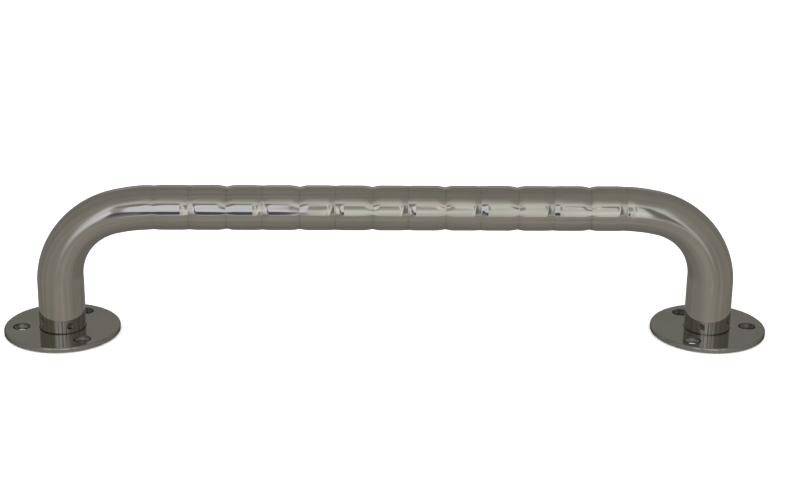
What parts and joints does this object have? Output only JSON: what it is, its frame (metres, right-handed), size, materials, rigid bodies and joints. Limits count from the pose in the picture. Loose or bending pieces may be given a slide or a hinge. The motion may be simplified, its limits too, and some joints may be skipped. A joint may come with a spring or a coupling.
{
  "type": "grab rail",
  "caption": "Bent round-tube grab rail for a boat, with a crimped anti-slip grip and a round screw-down flange at each foot.",
  "frame": {"origin": "midway between the two feet, on the plane that the flanges are screwed down to", "axes": "+X along the grip, +Z away from the mounting surface, -Y the front of the rail"},
  "size_m": [0.4203, 0.0636, 0.0839],
  "materials": {
    "polished_tube": "polished stainless steel, slightly warm, with faint lengthwise buffing lines",
    "mirror_flange": "mirror-polished stainless steel sheet",
    "weld_metal": "unpolished rippled weld bead"
  },
  "bodies": {
    "root": {"rail_tube": "polished_tube", "left_base_flange": "mirror_flange", "left_weld_bead": "weld_metal", "right_base_flange": "mirror_flange", "right_weld_bead": "weld_metal"}
  },
  "joints": []
}
